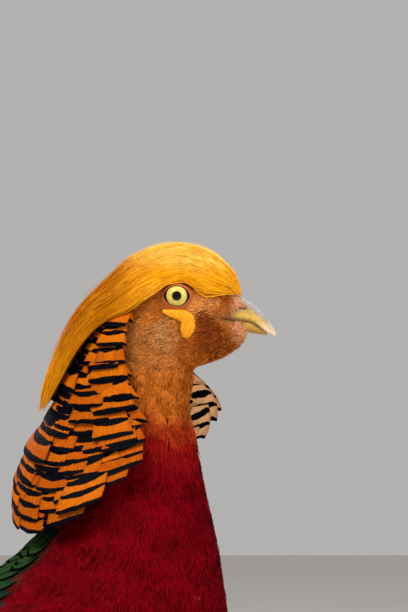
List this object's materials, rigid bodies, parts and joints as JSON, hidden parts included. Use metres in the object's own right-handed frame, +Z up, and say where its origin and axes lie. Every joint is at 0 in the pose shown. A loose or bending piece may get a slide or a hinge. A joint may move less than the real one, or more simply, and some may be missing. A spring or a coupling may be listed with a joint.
{
  "type": "golden pheasant",
  "caption": "Standing adult cock golden pheasant at life size, alert, with silky crest, barred cape, folded wings and long tail.",
  "frame": {"origin": "on the floor, under the middle of the bird's overall box", "axes": "+X towards the bill, +Y to the bird's left, +Z up"},
  "size_m": [0.9432, 0.1238, 0.3796],
  "materials": {
    "crest": "silky golden plumes",
    "face": "short rust-brown plumage and bare orange-yellow lid skin",
    "horn": "satin horn",
    "iris": "wet, glossy",
    "red": "dense crimson body plumage",
    "cape": "broad orange plumes with blue-black bars",
    "wing": "folded wing plumage",
    "tail": "long mottled tail plumage",
    "leg": "scaled skin",
    "claw": "smooth horn"
  },
  "bodies": {
    "root": {"head": "face", "bill_upper": "horn", "bill_lower": "horn", "crest": "crest", "neck": "red", "cape": "cape", "torso": "red", "tail": "tail", "eye_left": "iris", "wing_left": "wing", "thigh_left": "red", "leg_left": "leg", "spur_left": "claw", "claw_left_inner": "claw", "claw_left_middle": "claw", "claw_left_outer": "claw", "claw_left_hind": "claw", "eye_right": "iris", "wing_right": "wing", "thigh_right": "red", "leg_right": "leg", "spur_right": "claw", "claw_right_inner": "claw", "claw_right_middle": "claw", "claw_right_outer": "claw", "claw_right_hind": "claw"}
  },
  "joints": []
}
